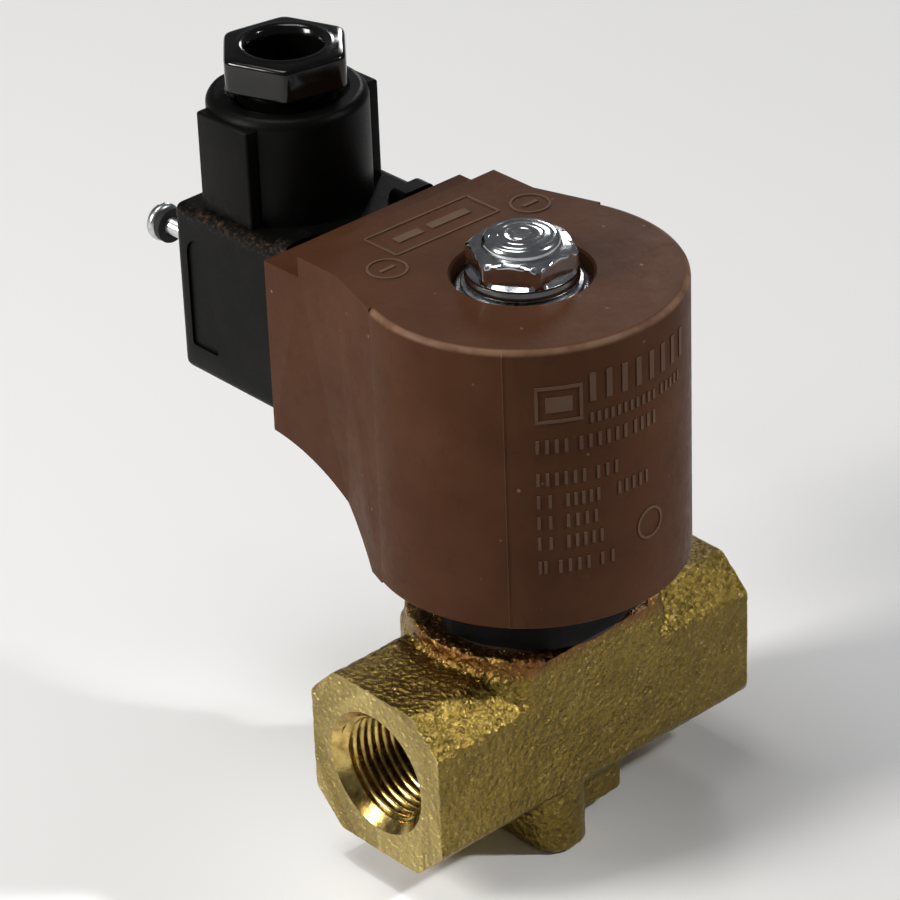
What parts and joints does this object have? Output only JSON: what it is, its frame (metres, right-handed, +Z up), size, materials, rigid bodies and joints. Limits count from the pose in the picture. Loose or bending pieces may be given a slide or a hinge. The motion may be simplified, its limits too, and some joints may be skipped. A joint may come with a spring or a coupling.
{
  "type": "solenoid valve",
  "caption": "Two-way piston solenoid valve: octagonal brass body with threaded ports, brown moulded coil on an armature tube, and a black cable plug with a gland.",
  "frame": {"origin": "centre of the inlet port's face, on the bore's axis", "axes": "+X along the flow from inlet to outlet, +Y from the coil towards its plug, +Z up along the coil and armature tube"},
  "size_m": [0.06, 0.1018, 0.1041],
  "materials": {
    "brass": "rough forged brass with machined port faces",
    "ptfe": "white sealing plastic",
    "dark_steel": "blackened steel",
    "stainless": "drawn stainless steel",
    "ferritic_steel": "turned magnetic steel",
    "copper": "bare copper",
    "zinc_steel": "zinc plated steel",
    "nickel_nut": "bright nickel plate",
    "black_rubber": "dull black rubber",
    "coil_resin": "brown moulded resin, low sheen",
    "natural_nylon": "natural moulded plastic",
    "tinned_brass": "tinned brass",
    "plug_nylon": "black moulded nylon, fine texture",
    "grey_nylon": "dark grey moulded nylon",
    "gland_nylon": "glossy black moulded nylon"
  },
  "bodies": {
    "valve": {"valve_body": "brass", "tube_gasket": "ptfe", "tube_nut": "dark_steel", "armature_tube": "stainless", "fixed_core": "ferritic_steel", "shading_ring": "copper", "plain_washer": "zinc_steel", "spring_washer": "zinc_steel", "cap_nut": "nickel_nut", "piston_spring": "stainless", "plunger_spring": "stainless"},
    "piston": {"piston": "ferritic_steel", "piston_seal": "ptfe", "piston_ring": "ptfe"},
    "plunger": {"plunger": "ferritic_steel", "plunger_seal": "black_rubber"},
    "coil": {"coil_shell": "coil_resin", "bobbin": "natural_nylon", "winding": "copper", "yoke": "zinc_steel", "coil_terminals": "tinned_brass", "screw_insert": "tinned_brass"},
    "plug": {"plug_housing": "plug_nylon", "plug_gasket": "black_rubber", "terminal_block": "grey_nylon", "contacts": "tinned_brass", "terminal_screws": "zinc_steel", "gland_seal": "black_rubber", "gland_washer": "zinc_steel"},
    "gland": {"gland_nut": "gland_nylon"},
    "screw": {"retaining_screw": "nickel_nut", "screw_ring": "black_rubber"}
  },
  "joints": [
    {"name": "plunger_lift", "type": "slide", "parent": "valve", "child": "plunger", "axis": [0, 0, 1], "range_m": [0, 0.0025], "stiffness_N_per_m": 250, "springref_m": -0.006, "deforming": ["plunger_spring"]},
    {"name": "piston_lift", "type": "slide", "parent": "valve", "child": "piston", "axis": [0, 0, 1], "range_m": [0, 0.002], "deforming": ["piston_spring"]},
    {"name": "coil_swivel", "type": "hinge", "parent": "valve", "child": "coil", "pos_m": [0.03, 0, 0.045], "axis": [0, 0, 1], "continuous": true},
    {"name": "plug_pull", "type": "slide", "parent": "coil", "child": "plug", "axis": [0, 1, 0], "range_m": [0, 0.012]},
    {"name": "gland_turn", "type": "hinge", "parent": "plug", "child": "gland", "pos_m": [0.03, 0.0473, 0.08], "axis": [0, 0, 1], "continuous": true},
    {"name": "screw_slide", "type": "slide", "parent": "plug", "child": "screw", "axis": [0, 1, 0], "range_m": [-0.0185, 0]}
  ],
  "couplings": [
    {"joint": "piston_lift", "follows": "plunger_lift", "ratio": 0.8}
  ]
}
